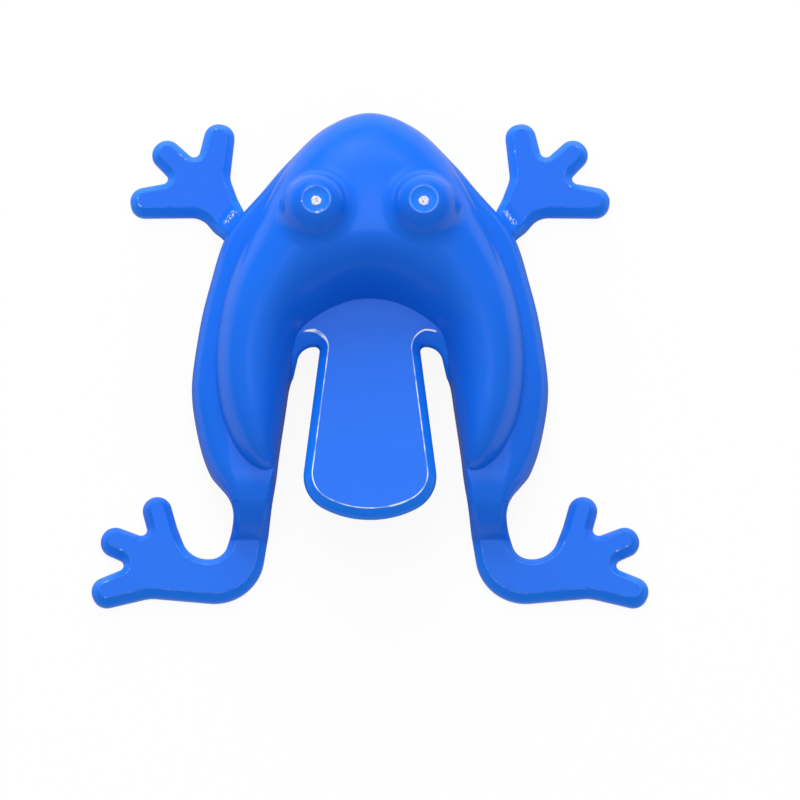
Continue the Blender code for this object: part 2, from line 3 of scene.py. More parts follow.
import bmesh
import bpy
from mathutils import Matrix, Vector
from mathutils.bvhtree import BVHTree
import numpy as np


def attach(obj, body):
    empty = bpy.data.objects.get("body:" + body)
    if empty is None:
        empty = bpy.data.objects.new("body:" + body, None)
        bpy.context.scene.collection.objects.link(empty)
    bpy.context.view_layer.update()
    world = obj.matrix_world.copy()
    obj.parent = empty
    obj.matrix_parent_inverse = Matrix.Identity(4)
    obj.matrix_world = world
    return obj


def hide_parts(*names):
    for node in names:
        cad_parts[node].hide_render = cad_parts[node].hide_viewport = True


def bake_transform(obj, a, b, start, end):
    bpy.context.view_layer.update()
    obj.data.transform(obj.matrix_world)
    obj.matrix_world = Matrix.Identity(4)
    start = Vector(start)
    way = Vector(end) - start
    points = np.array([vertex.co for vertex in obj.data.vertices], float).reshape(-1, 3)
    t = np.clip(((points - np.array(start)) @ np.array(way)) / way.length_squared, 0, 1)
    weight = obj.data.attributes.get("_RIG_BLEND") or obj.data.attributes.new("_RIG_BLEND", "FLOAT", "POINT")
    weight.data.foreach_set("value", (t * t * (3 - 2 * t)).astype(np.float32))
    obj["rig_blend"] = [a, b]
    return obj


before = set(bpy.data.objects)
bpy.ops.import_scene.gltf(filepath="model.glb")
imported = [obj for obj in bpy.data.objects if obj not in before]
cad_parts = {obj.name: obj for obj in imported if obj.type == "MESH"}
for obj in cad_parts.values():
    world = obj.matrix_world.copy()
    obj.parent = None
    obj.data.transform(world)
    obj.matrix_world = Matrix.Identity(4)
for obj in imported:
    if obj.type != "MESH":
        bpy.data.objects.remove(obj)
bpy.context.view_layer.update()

# Skirt
# The convex band round the frog's body, one with its hips. Moulded blue polyethylene, open below, with
# an upright foot that curves over and climbs to the dome, widely along the sides and hardly at the nose.
hip_y = -0.015482
rim_z = 0.0015
skirt_z = 0.0055
wall = 0.0013
hollow_ledge = 0.0004  # between the hollow under the skirt and the one in the dome
overrun = 0.001  # how far a cut runs past what it cuts
hip_fall = 0.0006  # how far the skirt's top has sunk at the hip line
hip_slope = 0.0028  # length over which it sinks, behind the lobe
hip_rise = 0.0018  # how far the rim has risen at the hip line
hip_arch = 0.0037  # length over which it rises
# knots of curves: millimetres to the side, ahead of the hip line and, if there is a third, up
skirt_edge_knots = [
    (0, 40.5), (3.1, 39.95), (5.65, 38.4), (7.65, 36.35), (9.2, 34.7), (10.8, 32.75), (12.65, 30.65),
    (14.6, 27.8), (15.85, 23.7), (16.75, 20.1), (17.4, 16.3), (17.8, 12.8), (17.65, 10), (17.15, 7.2),
    (16.6, 5.1), (15.95, 3.46), (15.43, 2.6), (14.83, 1.73), (14.25, 0.87), (13.83, 0), (13.62, -0.87),
    (13.69, -1.73), (13.92, -2.6), (14.2, -3.46),
]
inner_edge_knots = [
    (0, 21.45), (2.49, 21.15), (4.81, 20.25), (6.6, 18.8), (7.15, 16.8), (7.52, 14.4), (8.0, 12.7),
    (8.27, 11.05), (8.53, 9.2), (8.86, 6.9), (9.12, 4.9), (9.28, 3.46), (9.38, 2.6), (9.48, 1.73),
    (9.6, 0.87), (9.72, 0), (9.86, -0.87), (10, -1.73), (10.15, -2.6), (10.3, -3.46),
]
hip_knot = 19
inner_hip_knot = 15
# how far in from each knot of the outer edge the skirt still climbs, in millimetres
climb_widths = [0.75, 0.85, 0.9, 0.9, 1.25, 1.65, 2.3, 2.8, 2.4, 2.35, 2.45, 2.85, 3, 3.1, 2.9, 2.3, 1.9, 1.5]
climb_widths += [1.15, 0.85]
skirt_profile = (
    (0.04, 0), (0.01, 0.01), (0, 0.03), (0, 0.25), (0.012, 0.36), (0.04, 0.48), (0.09, 0.58), (0.16, 0.675),
    (0.26, 0.76), (0.4, 0.84), (0.56, 0.905), (0.74, 0.957), (0.88, 0.987), (1, 1), (1.03, 1),
)


def from_hip(knot):
    """Place in metres of a knot given in millimetres from the hip line."""
    return Vector((knot[0] / 1000, hip_y + knot[1] / 1000, *(height / 1000 for height in knot[2:])))


def fair_curve(knots):
    """Natural cubic curve, called with a knot number, through the right half's knots and their mirrors."""
    places = [from_hip((-knot[0], *knot[1:])) for knot in reversed(knots[1:])]
    places += [from_hip(knot) for knot in knots]
    count = len(places)
    bends = [Vector([0] * len(knots[0])) for _ in places]
    factors = [0.0] * count
    for i in range(1, count - 1):
        pivot = 4 - factors[i - 1]
        factors[i] = 1 / pivot
        bends[i] = (6 * (places[i + 1] - 2 * places[i] + places[i - 1]) - bends[i - 1]) / pivot
    for i in range(count - 2, 0, -1):
        bends[i] -= factors[i] * bends[i + 1]

    def at(knot):
        position = knot + len(knots) - 1
        span = min(max(int(math.floor(position)), 0), count - 2)
        far = position - span
        near = 1 - far
        straight = near * places[span] + far * places[span + 1]
        return straight + ((near**3 - near) * bends[span] + (far**3 - far) * bends[span + 1]) / 6

    return at


def knots_between(first, last, steps):
    """Knot numbers from first to last, steps to each whole one."""
    count = max(1, round(abs(last - first) * steps))
    return [first + (last - first) * i / count for i in range(count + 1)]


def width_at(knot):
    """Width over which the skirt climbs at a knot number."""
    knot = min(abs(knot), hip_knot)
    before = min(int(knot), hip_knot - 1)
    return (climb_widths[before] + (climb_widths[before + 1] - climb_widths[before]) * (knot - before)) / 1000


def steps_inwards(outline, cuts):
    """Step from each point (x, y, width) of a closed outline to where its edge's round ends.

    Cuts number the points whose edge to the next one is a parting plane, along which both slide.
    """
    count = len(outline)
    places = [Vector(point[:2]) for point in outline]
    turning = math.copysign(1, sum(a.cross(b) for a, b in zip(places, places[1:] + places[:1])))
    steps = []
    for i, place in enumerate(places):
        before = (place - places[i - 1]).normalized()
        after = (places[(i + 1) % count] - place).normalized()
        if i in cuts:
            step = after / max(abs(before.cross(after)), 0.5)
        elif (i - 1) % count in cuts:
            step = -before / max(abs(before.cross(after)), 0.5)
        else:
            along = (before + after).normalized()
            step = Vector((-along.y, along.x)) * turning / max(along.dot(after), 0.5)
        steps.append(step * outline[i][2])
    return steps


def drawn_up(name, outline, cuts, profile, low, high):
    """Lay the outline down as one face and extrude it up and in along the profile of its edge.

    The attribute edge keeps how far in each point lies, as a share of the edge's width.
    """
    steps = steps_inwards(outline, cuts)
    rings = []
    for inwards, upwards in profile:
        ring = []
        for (x, y, _), step in zip(outline, steps):
            place = (x + step.x * inwards, y + step.y * inwards)
            ring.append((*place, low(*place) + (high(*place) - low(*place)) * upwards))
        rings.append(ring)
    bpy.ops.object.select_all(action="DESELECT")
    bpy.ops.mesh.primitive_circle_add(vertices=len(outline), fill_type="NGON")
    piece = bpy.context.object
    piece.name = piece.data.name = name
    piece.data.attributes.new("number", "INT", "POINT")
    piece.data.attributes.new("edge", "FLOAT", "POINT")
    for i, place in enumerate(rings[0]):
        piece.data.vertices[i].co = place
        piece.data.attributes["number"].data[i].value = i
    bpy.ops.object.mode_set(mode="EDIT")
    bpy.ops.mesh.select_all(action="SELECT")
    for (inwards, _), ring in zip(profile[1:], rings[1:]):
        bpy.ops.mesh.extrude_region_move()
        mesh = bmesh.from_edit_mesh(piece.data)
        number = mesh.verts.layers.int["number"]
        edge = mesh.verts.layers.float["edge"]
        for vertex in mesh.verts:
            if vertex.select:
                vertex.co = ring[vertex[number]]
                vertex[edge] = inwards
        bmesh.update_edit_mesh(piece.data)
    bpy.ops.mesh.select_all(action="SELECT")
    bpy.ops.mesh.normals_make_consistent(inside=False)
    bpy.ops.object.mode_set(mode="OBJECT")
    piece.data.attributes.remove(piece.data.attributes["number"])
    return piece


def cut_across(piece, places, normal):
    """Bisect the whole piece at each place, so that it can bend there."""
    bpy.ops.object.mode_set(mode="EDIT")
    for place in places:
        bpy.ops.mesh.select_all(action="SELECT")
        bpy.ops.mesh.bisect(plane_co=place, plane_no=normal)
    bpy.ops.object.mode_set(mode="OBJECT")


def taken_up(piece):
    """Select one piece alone, for the operators that follow."""
    bpy.ops.object.select_all(action="DESELECT")
    piece.select_set(True)
    bpy.context.view_layer.objects.active = piece


def carved(piece, cutter):
    """Take the cutter's shape out of the piece for good."""
    carve = piece.modifiers.new("carve", "BOOLEAN")
    carve.operation = "DIFFERENCE"
    carve.object = cutter
    taken_up(piece)
    bpy.ops.object.modifier_apply(modifier=carve.name)
    bpy.data.objects.remove(cutter)


def smoothed(piece, degrees):
    """Shade a piece smooth up to an angle."""
    taken_up(piece)
    bpy.ops.object.shade_smooth_by_angle(angle=math.radians(degrees))


def turned_outwards():
    """Make the faces of the piece in hand look outwards."""
    bpy.ops.object.mode_set(mode="EDIT")
    bpy.ops.mesh.select_all(action="SELECT")
    bpy.ops.mesh.normals_make_consistent(inside=False)
    bpy.ops.object.mode_set(mode="OBJECT")


def eased(share):
    """Rise from 0 to 1 with level ends."""
    share = min(max(share, 0), 1)
    return share * share * (3 - 2 * share)


def skirt_top(y):
    """Height of the skirt's top, which starts to fall behind the lobes."""
    return skirt_z - hip_fall * max(1 - (y - hip_y) / hip_slope, 0) ** 2


skirt_edge = fair_curve(skirt_edge_knots)
inner_edge = fair_curve(inner_edge_knots)

outline = [(*skirt_edge(knot), width_at(knot)) for knot in knots_between(-hip_knot, hip_knot, 10)]
for knot in knots_between(inner_hip_knot, -inner_hip_knot, 8):
    at_hip = eased(1 - (inner_hip_knot - abs(knot)) / 4)
    outline.append((*inner_edge(knot), 0.0003 + 0.0004 * at_hip))
turn = len(knots_between(-hip_knot, hip_knot, 10))
skirt = drawn_up(
    "skirt", outline, (turn - 1, len(outline) - 1), skirt_profile, lambda x, y: rim_z, lambda x, y: skirt_z
)
cut_across(skirt, [(0, hip_y + 0.00025 * i, 0) for i in range(1, 16)], (0, 1, 0))
for vertex in skirt.data.vertices:
    low = rim_z + hip_rise * eased(1 - (vertex.co.y - hip_y) / hip_arch)
    up = (vertex.co.z - rim_z) / (skirt_z - rim_z)
    vertex.co.z = low + (skirt_top(vertex.co.y) - low) * up

recess = [(*skirt_edge(knot), wall) for knot in knots_between(4 - hip_knot, hip_knot - 4, 6)]
recess_turn = len(recess)
recess += [(*inner_edge(knot), wall) for knot in knots_between(inner_hip_knot - 4, 5, 6)]
recess_front = len(recess)
recess += [(-x, y, width) for x, y, width in reversed(recess[recess_turn:])]
carved(
    skirt,
    drawn_up(
        "recess",
        recess,
        (recess_turn - 1, recess_front - 1, len(recess) - 1),
        ((1, 0), (1, 0.85), (1.1, 1)),
        lambda x, y: rim_z - overrun,
        lambda x, y: skirt_z - wall,
    ),
)


def fed(tree, socket, value):
    """Link an output to a socket, or set a plain value there."""
    if isinstance(value, bpy.types.NodeSocket):
        tree.links.new(value, socket)
    else:
        socket.default_value = value


def worked(tree, operation, *values):
    """Result of a math node."""
    step = tree.nodes.new("ShaderNodeMath")
    step.operation = operation
    for socket, value in zip(step.inputs, values):
        fed(tree, socket, value)
    return step.outputs["Value"]


def ranged(tree, value, low, high, to_low, to_high, shape="LINEAR"):
    """Value carried over from one range to another and held at its ends."""
    span = tree.nodes.new("ShaderNodeMapRange")
    span.interpolation_type = shape
    sockets = ("Value", "From Min", "From Max", "To Min", "To Max")
    for socket, given in zip(sockets, (value, low, high, to_low, to_high)):
        fed(tree, span.inputs[socket], given)
    return span.outputs["Result"]


def way_along(tree, place, direction):
    """How far a place lies along a direction."""
    along = tree.nodes.new("ShaderNodeVectorMath")
    along.operation = "DOT_PRODUCT"
    along.inputs[1].default_value = direction
    tree.links.new(place, along.inputs[0])
    return along.outputs["Value"]


def mixed(tree, share, first, second):
    """Colour between two others."""
    mix = tree.nodes.new("ShaderNodeMix")
    mix.data_type = "RGBA"
    for socket, value in (("Factor", share), ("A", first), ("B", second)):
        fed(tree, mix.inputs[socket], value)
    return mix.outputs["Result"]


def ramped(tree, value, *stops):
    """Colour from a ramp of two stops (place, colour)."""
    ramp = tree.nodes.new("ShaderNodeValToRGB")
    for element, (place, colour) in zip(ramp.color_ramp.elements, stops):
        element.position = place
        element.color = colour
    tree.links.new(value, ramp.inputs["Fac"])
    return ramp.outputs["Color"]


def noise(tree, place, scale, detail):
    """Random value that changes with the place."""
    texture = tree.nodes.new("ShaderNodeTexNoise")
    texture.inputs["Scale"].default_value = scale
    texture.inputs["Detail"].default_value = detail
    tree.links.new(place, texture.inputs["Vector"])
    return texture.outputs["Fac"]


def bumped(tree, height, strength, distance):
    """Direction of a surface with a fine relief."""
    bump = tree.nodes.new("ShaderNodeBump")
    bump.inputs["Strength"].default_value = strength
    bump.inputs["Distance"].default_value = distance
    tree.links.new(height, bump.inputs["Height"])
    return bump.outputs["Normal"]


def moulded_skin():
    """Colour, gloss and fine ripple of the moulded blue.

    It is painted lighter in a thin edge, for light that comes through, and painted with pale highlights: a
    glint line where the edge ends, sparkles and crease streaks.
    """
    skin = bpy.data.node_groups.new("moulded_skin", "ShaderNodeTree")
    for socket in ("Edge", "Thin", "Width", "Rub", "Specks", "Crease"):
        skin.interface.new_socket(name=socket, in_out="INPUT", socket_type="NodeSocketFloat")
    for socket, kind in (("Color", "Color"), ("Roughness", "Float"), ("Normal", "Vector")):
        skin.interface.new_socket(name=socket, in_out="OUTPUT", socket_type="NodeSocket" + kind)
    given = skin.nodes.new("NodeGroupInput").outputs
    made = skin.nodes.new("NodeGroupOutput").inputs
    place = skin.nodes.new("ShaderNodeTexCoord").outputs["Object"]

    def smooth(value, *ends):
        return ranged(skin, value, *ends, shape="SMOOTHSTEP")

    def product(first, *others):
        for other in others:
            first = worked(skin, "MULTIPLY", first, other)
        return first

    clouds = noise(skin, place, 130, 1)
    blue = ramped(skin, clouds, (0.1, (0.0065, 0.141, 0.785, 1)), (0.9, (0.008, 0.153, 0.815, 1)))
    # painted light: below an edge share of 0.9 the blue is painted lighter, standing in for light that comes
    # through thin plastic
    thin = product(smooth(given["Edge"], 0.9, 1, 1, 0), given["Thin"])
    lit = mixed(skin, thin, blue, (0.008, 0.205, 0.93, 1))

    # painted highlight: a pale glint line where an edge's chamfer ends at the flat
    line = product(
        smooth(
            given["Edge"],
            worked(skin, "SUBTRACT", 0.95, given["Width"]),
            worked(skin, "SUBTRACT", 1, given["Width"]),
            0,
            1,
        ),
        smooth(given["Edge"], 1, 1.05, 1, 0),
        smooth(noise(skin, place, 700, 1), 0.35, 0.6, 0.3, 1),
        given["Rub"],
    )
    # painted highlights: pale sparkles along an edge
    sparkles = product(
        smooth(noise(skin, place, 2600, 0), 0.64, 0.74, 0, 0.8),
        smooth(given["Edge"], 0.8, 0.95, 0, 1),
        smooth(given["Edge"], 1.02, 1.08, 1, 0),
        smooth(noise(skin, place, 350, 0), 0.48, 0.6, 0, 1),
        given["Specks"],
    )
    # painted highlights: pale glint streaks along a crease
    crease_glints = product(smooth(noise(skin, place, 5200, 0), 0.5, 0.6, 0, 1), given["Crease"])
    # the glint line, sparkles and streaks are painted highlights, mixed towards near white
    pale = worked(skin, "MAXIMUM", line, worked(skin, "MAXIMUM", sparkles, crease_glints))
    fed(skin, made["Color"], mixed(skin, pale, lit, (0.85, 0.92, 1, 1)))

    ripple = noise(skin, place, 420, 1)
    fed(skin, made["Roughness"], smooth(ripple, 0.2, 0.8, 0.21, 0.27))
    fed(skin, made["Normal"], bumped(skin, ripple, 0.15, 0.00003))
    return skin


skin = moulded_skin()


def blue_plastic(name, thin=0, glint=0, sparkle=0, changes=()):
    """Glossy blue polyethylene, whose skin can change with the place; it can be painted with light: a lighter
    glow in thin edges, a glint line and sparkles.

    A change (input, direction, near, far, before, after) runs along its direction. Changes to one input
    multiply.
    """
    material = bpy.data.materials.new(name)
    material.use_nodes = True
    tree = material.node_tree
    shader = tree.nodes["Principled BSDF"]
    shader.inputs["IOR"].default_value = 1.5
    shader.inputs["Specular IOR Level"].default_value = 0.3
    edge = tree.nodes.new("ShaderNodeAttribute")
    edge.attribute_name = "edge"
    look = tree.nodes.new("ShaderNodeGroup")
    look.node_tree = skin
    given = {"Edge": edge.outputs["Fac"], "Thin": thin, "Width": 0.06, "Rub": glint, "Specks": sparkle}
    for socket, value in given.items():
        fed(tree, look.inputs[socket], value)
    place = tree.nodes.new("ShaderNodeTexCoord").outputs["Object"]
    for socket, direction, *ends in changes:
        result = ranged(tree, way_along(tree, place, direction), *ends)
        if look.inputs[socket].is_linked:
            result = worked(tree, "MULTIPLY", look.inputs[socket].links[0].from_socket, result)
        fed(tree, look.inputs[socket], result)
    for socket, target in (("Color", "Base Color"), ("Roughness", "Roughness"), ("Normal", "Normal")):
        fed(tree, shader.inputs[target], look.outputs[socket])
    return material


shell_plastic = blue_plastic("shell_plastic")


# Dome
# The frog's back: a hollow crescent that rises from the skirt to its crest, falls to the tab's root in
# front and runs out in two lobes behind. It is moulded with the skirt and meets it in a crisp line.
sill_knots = [
    (0, 40.1), (3.95, 38.8), (6.87, 36.3), (8.85, 33.55), (10.45, 30.54), (12.2, 26.88), (13.85, 23.01),
    (14.85, 19.25), (15.35, 15.27), (15.25, 11.51), (14.6, 8.16), (13.5, 5.55), (12.35, 3.95), (11, 3.02),
    (9.75, 2.83),
]
ridge_knots = [
    (0, 26.37, 12.3), (2.6, 26.27, 12.3), (5.2, 25.88, 12.2), (7.2, 25.03, 11.9), (8.75, 23.38, 11.5),
    (10, 21.15, 11), (11, 19.05, 10.55), (11.75, 16.6, 10.15), (12.15, 13.8, 9.75), (12.05, 10.8, 9.35),
    (11.65, 8, 8.9), (11.2, 5.6, 8.2), (10.75, 4, 7.2), (10.2, 3.2, 6.1), (9.72, 2.97, 5.2),
]
foot_knots = [
    (0, 20.68), (2, 20.4), (3.9, 19.58), (5.5, 18.5), (6.65, 17.4), (7.25, 16.4), (7.6, 15.2), (7.9, 13.7),
    (8.26, 12.07), (8.56, 10.09), (8.9, 7.79), (9.22, 5.7), (9.42, 4.13), (9.62, 3.3), (9.68, 3.01),
]
sill = fair_curve(sill_knots)
ridge = fair_curve(ridge_knots)
foot = fair_curve(foot_knots)
rear_fall = 2.3  # steepness of the fall behind the crest
dome_root = 0.0015  # how deep the dome is rooted in the skirt


def dome_section(knot, inset, ledge, floor, steps):
    """Closed section across the dome, from its outer foot over the crest to its inner foot."""
    crest = ridge(knot) - Vector((0, 0, inset))
    outer = sill(knot)
    inner = foot(knot)
    outer = outer + (crest.xy - outer).normalized() * (inset + ledge)
    inner = inner + (crest.xy - inner).normalized() * inset
    section = [(*outer, floor)]
    gentle = 0.55 * eased((abs(knot) - 6) / 6) + 0.4 * eased((abs(knot) - 9) / 3)
    for i in range(steps + 1):
        angle = math.pi / 2 * i / steps
        place = crest.xy.lerp(outer, math.cos(angle))
        share = math.sin(angle) * (1 - gentle) + math.sin(angle) ** 2 * gentle
        section.append((*place, skirt_z + (crest.z - skirt_z) * share))
    for i in range(1, steps + 1):
        share = math.sin(math.pi / 2 * i / steps)
        place = crest.xy.lerp(inner, share)
        section.append((*place, skirt_z + (crest.z - skirt_z) * (1 - share**rear_fall)))
    section.append((*inner, floor))
    return section


def skinned(name, sections):
    """Bend a grid onto closed sections, join its long sides and fill its two ends."""
    across = len(sections[0])
    bpy.ops.object.select_all(action="DESELECT")
    bpy.ops.mesh.primitive_grid_add(x_subdivisions=across, y_subdivisions=len(sections) - 1)
    piece = bpy.context.object
    piece.name = piece.data.name = name
    for row, section in enumerate(sections):
        for column in range(across + 1):
            piece.data.vertices[row * (across + 1) + column].co = section[column % across]
    bpy.ops.object.mode_set(mode="EDIT")
    bpy.ops.mesh.select_all(action="SELECT")
    bpy.ops.mesh.remove_doubles(threshold=1e-7)
    bpy.ops.mesh.select_all(action="SELECT")
    bpy.ops.mesh.fill_holes(sides=0)
    bpy.ops.mesh.normals_make_consistent(inside=False)
    bpy.ops.object.mode_set(mode="OBJECT")
    return piece


dome = skinned(
    "dome",
    [dome_section(knot, 0, 0, skirt_z - dome_root, 28) for knot in knots_between(-14, 14, 12)],
)
dome_surface = BVHTree.FromPolygons(
    [vertex.co.copy() for vertex in dome.data.vertices], [tuple(face.vertices) for face in dome.data.polygons]
)


def hollow(name):
    """The space inside the dome, a wall's thickness in from its skin."""
    floor = skirt_z - wall - overrun
    knots = knots_between(-11, 11, 3)
    return skinned(name, [dome_section(knot, wall, hollow_ledge, floor, 12) for knot in knots])


for piece in (skirt, dome):
    carved(piece, hollow("hollow"))
    smoothed(piece, 32)
    piece.data.materials.append(shell_plastic)
    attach(piece, "shell")
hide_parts("body_shell")


# Eyes
# Two eyeballs with dished pupils, moulded on the head. Each runs into the dome with a soft round all
# the way about, high over the dome's shoulder and low behind.
eye_centres = (from_hip((-5.36, 28.4, 11.35)), from_hip((5.36, 28.4, 11.35)))
eye_radius = 0.0034
dish_radius = 0.00145
dish_depth = 0.00018
lip = 0.00018  # half width of the round between dish and eyeball
lip_sink = 0.00006
eye_draft = 0.04
eye_round = 0.0014  # reach of the round between eye and dome
eye_turns = 96


def dome_height(x, y):
    """Height of the dome's skin over a place."""
    return dome_surface.ray_cast(Vector((x, y, 0.03)), Vector((0, 0, -1)))[0].z


def eyeball(along):
    """Radius and height of the eye's skin, a way down from the middle of the dish."""
    rim_angle = math.asin(dish_radius / eye_radius)
    rim = eye_radius * math.cos(rim_angle)
    if along < dish_radius - lip:
        return along, rim - dish_depth * (1 - (along / (dish_radius - lip)) ** 2.4) - lip_sink
    if along < dish_radius + lip:
        share = max(along - dish_radius + lip, 0) / (2 * lip)
        ball = math.sqrt(eye_radius**2 - along**2)
        dish = rim - lip_sink
        return along, dish + (ball - dish) * share**1.5
    start_angle = math.asin((dish_radius + lip) / eye_radius)
    angle = start_angle + (along - dish_radius - lip) / eye_radius
    if angle < math.pi / 2:
        return eye_radius * math.sin(angle), eye_radius * math.cos(angle)
    below = (angle - math.pi / 2) * eye_radius
    return eye_radius + eye_draft * below, -below


def eye_section(centre, way):
    """Section of an eye, from the middle of its dish out to the dome and back below the dome's skin."""

    def skin_under(radius):
        return dome_height(*(centre.xy + way * radius))

    def point(radius, height):
        return (*(centre.xy + way * radius), height)

    near, far = 0.0015, 0.0090
    for _ in range(40):
        middle = (near + far) / 2
        radius, height = eyeball(middle)
        if centre.z + height > skin_under(radius):
            near = middle
        else:
            far = middle
    meet_radius, meet_height = eyeball(near)
    meet = Vector((meet_radius, centre.z + meet_height))
    top_end = near - eye_round
    above = Vector(eyeball(top_end))
    above.y += centre.z
    out_radius = meet_radius
    while (Vector((out_radius, skin_under(out_radius))) - meet).length < eye_round:
        out_radius += 0.00002
    out = Vector((out_radius, skin_under(out_radius)))

    ball_start = dish_radius + lip
    down = [dish_radius * share for share in (0, 0.3, 0.6, 0.8)]
    down += [dish_radius - lip + 2 * lip * i / 6 for i in range(7)]
    down += [ball_start + (top_end - ball_start) * i / 18 for i in range(1, 19)]
    section = []
    for along in down:
        radius, height = eyeball(along)
        section.append(point(radius, centre.z + height))
    for i in range(1, 11):
        share = i / 10
        place = above.lerp(meet, share).lerp(meet.lerp(out, share), share)
        section.append(point(place.x, place.y))
    for beyond, sunk in ((0.0003, 0.000008), (0.0006, 0.00003), (0.0006, 0.0005)):
        section.append(point(out_radius + beyond, skin_under(out_radius + beyond) - sunk))
    for share in (0.75, 0.5, 0.25, 0):
        radius = out_radius * share
        section.append(point(radius, skin_under(radius) - 0.0005))
    return section


# painted light: the dish is painted lighter, with a pale glint ring and sparkles round its rim as painted
# highlights
eye_plastic = blue_plastic("eye_plastic", thin=0.7, glint=0.12, sparkle=0.7)
for name, centre in zip(("left_eye", "right_eye"), eye_centres):
    sections = []
    for number in range(eye_turns + 1):
        angle = math.tau * (number % eye_turns) / eye_turns
        sections.append(eye_section(centre, Vector((math.cos(angle), math.sin(angle)))))
    across = len(sections[0])
    bpy.ops.object.select_all(action="DESELECT")
    bpy.ops.mesh.primitive_grid_add(x_subdivisions=across - 1, y_subdivisions=len(sections) - 1)
    eye = bpy.context.object
    eye.name = eye.data.name = name
    edge = eye.data.attributes.new("edge", "FLOAT", "POINT")
    for row, section in enumerate(sections):
        for column, place in enumerate(section):
            eye.data.vertices[row * across + column].co = place
            edge.data[row * across + column].value = (Vector(place[:2]) - centre.xy).length / dish_radius
    bpy.ops.object.mode_set(mode="EDIT")
    bpy.ops.mesh.select_all(action="SELECT")
    bpy.ops.mesh.remove_doubles(threshold=1e-7)
    bpy.ops.mesh.normals_make_consistent(inside=False)
    bpy.ops.object.mode_set(mode="OBJECT")
    smoothed(eye, 60)
    eye.data.materials.append(eye_plastic)
    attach(eye, "shell")

# torn stub of the sprue in each pupil, pale and rough where the plastic was stretched
torn = bpy.data.materials.new("torn_plastic")
torn.use_nodes = True
tree = torn.node_tree
shader = tree.nodes["Principled BSDF"]
shader.inputs["Roughness"].default_value = 0.6
fibres = noise(tree, tree.nodes.new("ShaderNodeTexCoord").outputs["Object"], 4500, 1)
pale = ramped(tree, fibres, (0.3, (0.52, 0.52, 0.78, 1)), (0.6, (0.85, 0.84, 0.95, 1)))
fed(tree, shader.inputs["Base Color"], pale)
fed(tree, shader.inputs["Normal"], bumped(tree, fibres, 1, 0.00005))
stub_radius = 0.0005
stub_behind = Vector((0, 0.00017))  # how far behind the middle of the dish

for name, centre in zip(("left_gate_stub", "right_gate_stub"), eye_centres):
    floor = centre.z + eyeball(0)[1]
    place = (centre.x, centre.y - stub_behind.y, floor - 0.0001)
    bpy.ops.object.select_all(action="DESELECT")
    bpy.ops.mesh.primitive_circle_add(vertices=40, radius=stub_radius, fill_type="NGON", location=place)
    bpy.ops.object.transform_apply(location=True, rotation=True, scale=True)
    stub = bpy.context.object
    stub.name = stub.data.name = name
    for vertex in stub.data.vertices:
        way = vertex.co.xy - centre.xy + stub_behind
        angle = math.atan2(way.y, way.x)
        uneven = 1 + 0.05 * math.sin(3 * angle + centre.x * 900) + 0.04 * math.sin(7 * angle)
        vertex.co.xy = centre.xy - stub_behind + way * uneven
    bpy.ops.object.mode_set(mode="EDIT")
    bpy.ops.mesh.select_all(action="SELECT")
    bpy.ops.mesh.extrude_region_move(TRANSFORM_OT_translate={"value": (0, 0, 0.0002)})
    for thickness, depth in ((0.00004, 0.00004), (0.00015, 0.00001), (0.00015, -0.00003)):
        bpy.ops.mesh.inset(thickness=thickness, depth=depth)
    bpy.ops.mesh.select_all(action="SELECT")
    bpy.ops.mesh.normals_make_consistent(inside=False)
    bpy.ops.object.mode_set(mode="OBJECT")
    smoothed(stub, 50)
    stub.data.materials.append(torn)
    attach(stub, "shell")


# Root plate and thumb tab
# One flat tongue, moulded with the dome's rear wall. It climbs a little to the rear, and its edges are
# chamfered all round. The plate is its fixed root; the tab bends from it between the ends of two slots.
flex_y = hip_y + 0.01465
slot_y = hip_y + 0.0159
tab_root_y = hip_y + 0.0207  # where the dome's rear wall meets the plate
tab_rise = math.radians(6)
tab_thickness = 0.0015
tab_edge = 0.0009
tab_neck = 0.00511  # half width at the bending line
tab_flare = 0.1203
plate_step = 0.00015  # plate above the skirt at the dome's rear wall
plate_seat = 0.0008  # how far the plate runs in under the dome's wall
plate_corner_sink = 0.0015
plate_corner_slope = 0.0012
lobe_cover_x = 0.0092  # the plate's corner hidden in the lobe
slot_edge = 0.0015
slot_radius = 0.00055
curve_sag = 0.000004  # how far an outline's arcs may stray from true ones
chamfer = (
    (0.06, 0), (0.015, 0.03), (0, 0.08), (0, 0.28), (0.03, 0.38), (0.1, 0.48), (0.2, 0.575), (0.8, 0.915),
    (0.88, 0.955), (0.94, 0.98), (1, 0.995), (1.05, 1), (1.1, 1),
)


